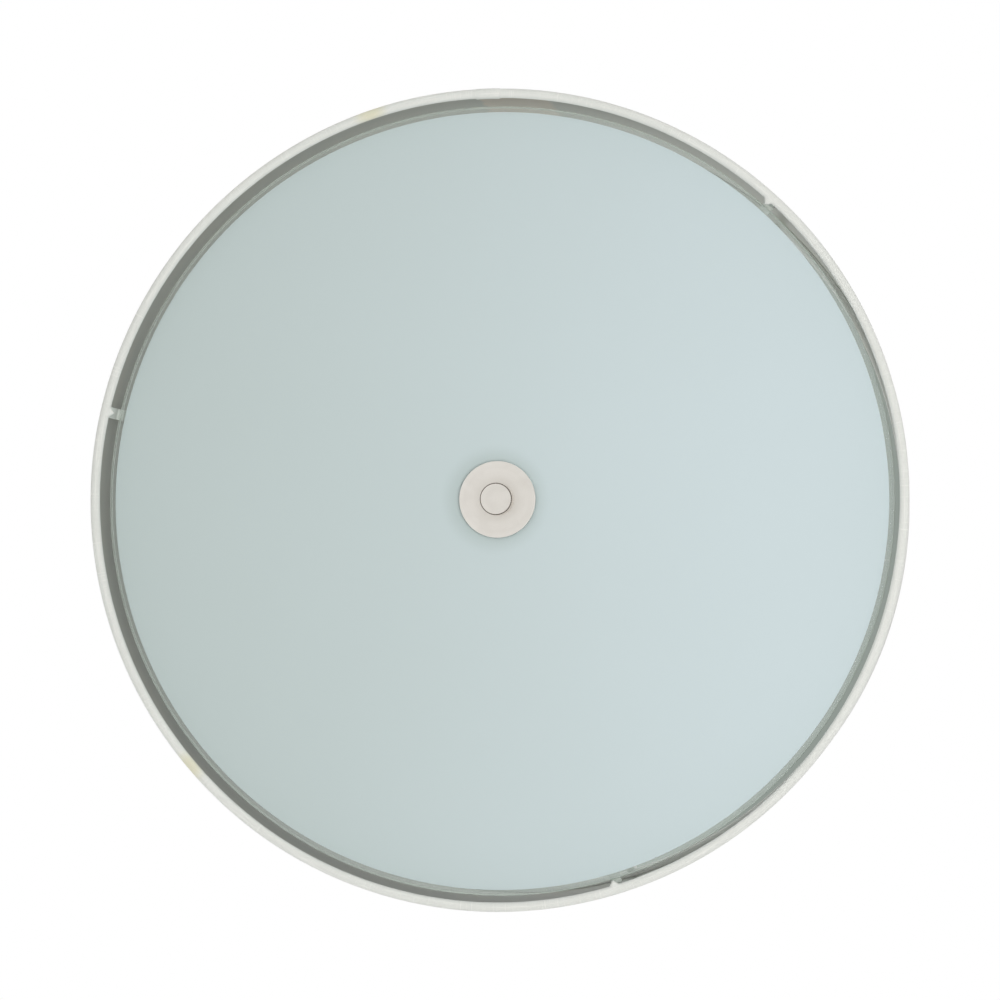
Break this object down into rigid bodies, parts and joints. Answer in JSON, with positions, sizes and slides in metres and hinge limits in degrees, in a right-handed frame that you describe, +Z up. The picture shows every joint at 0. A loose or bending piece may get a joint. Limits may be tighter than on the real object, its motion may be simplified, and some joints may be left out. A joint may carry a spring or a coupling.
{
  "type": "ceiling light",
  "caption": "Flush ceiling light: a fabric drum shade on wire rings, a recessed satin glass disc held by a turned nickel finial, and screw-in lamps on a ceiling pan.",
  "frame": {"origin": "centre of the mounting strap's upper face, on the ceiling plane", "axes": "+Z up into the ceiling along the centre rod, +X along the mounting strap, +Y towards the shade's seam"},
  "size_m": [0.406, 0.406, 0.134],
  "materials": {
    "zinc_steel": "zinc plated, satin",
    "green_screw": "green dyed zinc",
    "white_enamel": "white gloss enamel",
    "insulation_wool": "pressed glass fibre",
    "black_plastic": "moulded nylon",
    "white_wire": "white epoxy",
    "styrene_liner": "white styrene sheet",
    "shade_linen": "off-white woven linen",
    "aluminium_rivet": "bright",
    "white_insulation": "lead insulation",
    "black_insulation": "lead insulation",
    "yellow_plastic": "moulded, ribbed",
    "satin_glass": "acid-etched satin face with a clear border",
    "clear_rubber": "soft washer",
    "brushed_nickel": "circular brushed nickel",
    "porcelain": "glazed",
    "aluminium_shell": "pressed screw shell",
    "brass_contact": "spring brass",
    "lamp_cap_metal": "rolled thread",
    "lamp_plastic": "moulded white",
    "lamp_diffuser": "translucent white"
  },
  "bodies": {
    "fixture": {"mounting_strap": "zinc_steel", "ground_screw": "green_screw", "centre_rod": "zinc_steel", "strap_nut": "zinc_steel", "ceiling_pan": "white_enamel", "insulation_pad": "insulation_wool", "wire_bushings": "black_plastic", "lock_washer": "zinc_steel", "pan_nut": "zinc_steel", "shade_spider": "white_wire", "spider_nut": "zinc_steel", "top_ring": "white_wire", "bottom_ring": "white_wire", "diffuser_tabs": "zinc_steel", "shade_liner": "styrene_liner", "shade_fabric": "shade_linen", "bracket_rivets": "aluminium_rivet", "socket_screws": "zinc_steel", "white_leads": "white_insulation", "black_leads": "black_insulation", "wire_connectors": "yellow_plastic", "socket_bracket_1": "zinc_steel", "socket_body_1": "porcelain", "socket_shell_1": "aluminium_shell", "socket_contact_1": "brass_contact", "socket_bracket_2": "zinc_steel", "socket_body_2": "porcelain", "socket_shell_2": "aluminium_shell", "socket_contact_2": "brass_contact", "socket_bracket_3": "zinc_steel", "socket_body_3": "porcelain", "socket_shell_3": "aluminium_shell", "socket_contact_3": "brass_contact"},
    "diffuser": {"diffuser_glass": "satin_glass", "glass_washer": "clear_rubber", "check_washer": "brushed_nickel"},
    "finial": {"finial_knob": "brushed_nickel"},
    "lamp_carrier_1": {"lamp_contact_1": "brass_contact"},
    "lamp_1": {"lamp_cap_1": "lamp_cap_metal", "lamp_housing_1": "lamp_plastic", "lamp_dome_1": "lamp_diffuser"},
    "lamp_carrier_2": {"lamp_contact_2": "brass_contact"},
    "lamp_2": {"lamp_cap_2": "lamp_cap_metal", "lamp_housing_2": "lamp_plastic", "lamp_dome_2": "lamp_diffuser"},
    "lamp_carrier_3": {"lamp_contact_3": "brass_contact"},
    "lamp_3": {"lamp_cap_3": "lamp_cap_metal", "lamp_housing_3": "lamp_plastic", "lamp_dome_3": "lamp_diffuser"}
  },
  "joints": [
    {"name": "diffuser_drop", "type": "slide", "parent": "fixture", "child": "diffuser", "axis": [0, 0, -1], "range_m": [0, 0.0047]},
    {"name": "finial_turn", "type": "hinge", "parent": "diffuser", "child": "finial", "pos_m": [0, 0, -0.1254], "axis": [0, 0, -1], "range_deg": [0, 1800]},
    {"name": "lamp_1_travel", "type": "slide", "parent": "fixture", "child": "lamp_carrier_1", "axis": [0.2957, 0.9553, 0], "range_m": [0, 0.02]},
    {"name": "lamp_1_turn", "type": "hinge", "parent": "lamp_carrier_1", "child": "lamp_1", "pos_m": [0.01774, 0.05732, -0.066], "axis": [0.2957, 0.9553, 0], "range_deg": [0, 1980]},
    {"name": "lamp_2_travel", "type": "slide", "parent": "fixture", "child": "lamp_carrier_2", "axis": [-0.9751, -0.2215, 0], "range_m": [0, 0.02]},
    {"name": "lamp_2_turn", "type": "hinge", "parent": "lamp_carrier_2", "child": "lamp_2", "pos_m": [-0.05851, -0.01329, -0.066], "axis": [-0.9751, -0.2215, 0], "range_deg": [0, 1980]},
    {"name": "lamp_3_travel", "type": "slide", "parent": "fixture", "child": "lamp_carrier_3", "axis": [0.6794, -0.7337, 0], "range_m": [0, 0.02]},
    {"name": "lamp_3_turn", "type": "hinge", "parent": "lamp_carrier_3", "child": "lamp_3", "pos_m": [0.04077, -0.04402, -0.066], "axis": [0.6794, -0.7337, 0], "range_deg": [0, 1980]}
  ],
  "couplings": [
    {"joint": "finial_turn", "follows": "diffuser_drop", "rad_per_m": 6679},
    {"joint": "lamp_1_travel", "follows": "lamp_1_turn", "m_per_rad": 0.0005775},
    {"joint": "lamp_2_travel", "follows": "lamp_2_turn", "m_per_rad": 0.0005775},
    {"joint": "lamp_3_travel", "follows": "lamp_3_turn", "m_per_rad": 0.0005775}
  ]
}
